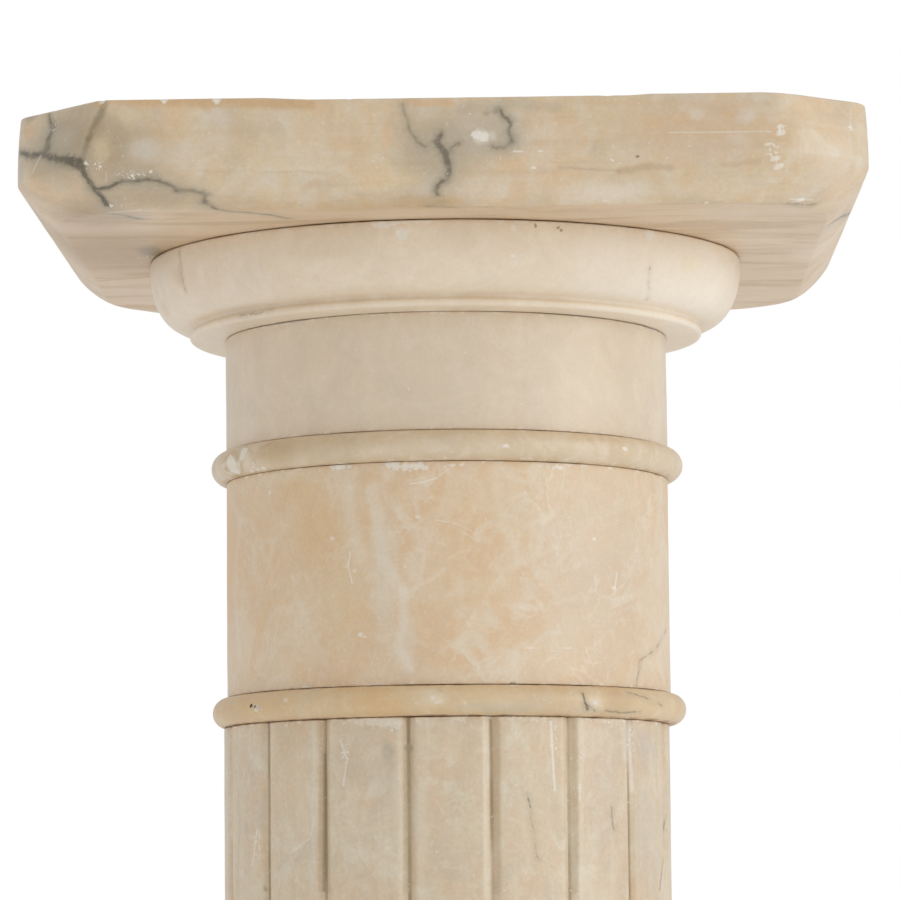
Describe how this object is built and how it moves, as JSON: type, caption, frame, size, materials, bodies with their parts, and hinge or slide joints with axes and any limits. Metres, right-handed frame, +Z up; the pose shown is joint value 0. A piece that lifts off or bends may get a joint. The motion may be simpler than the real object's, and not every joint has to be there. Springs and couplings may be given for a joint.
{
  "type": "doric column",
  "caption": "Free-standing Doric pedestal column in pale veined alabaster, with a canted square top, rounded echinus, ring mouldings, fluted shaft and canted plinth.",
  "frame": {"origin": "centre of the plinth's underside, where the column stands", "axes": "+Z up along the column's axis, -Y towards the front, +X to the right seen from the front"},
  "size_m": [0.31, 0.31, 1.05],
  "materials": {
    "plinth_stone": "satin",
    "base_stone": "satin",
    "ring_stone": "satin",
    "shaft_stone": "satin",
    "drum_stone": "satin",
    "neck_stone": "satin",
    "echinus_stone": "satin",
    "abacus_stone": "satin"
  },
  "bodies": {
    "root": {"plinth": "plinth_stone", "base_moulding": "base_stone", "foot_ring": "ring_stone", "fluted_shaft": "shaft_stone", "lower_ring": "ring_stone", "plain_drum": "drum_stone", "upper_ring": "ring_stone", "neck_drum": "neck_stone", "echinus": "echinus_stone", "abacus": "abacus_stone"}
  },
  "joints": []
}
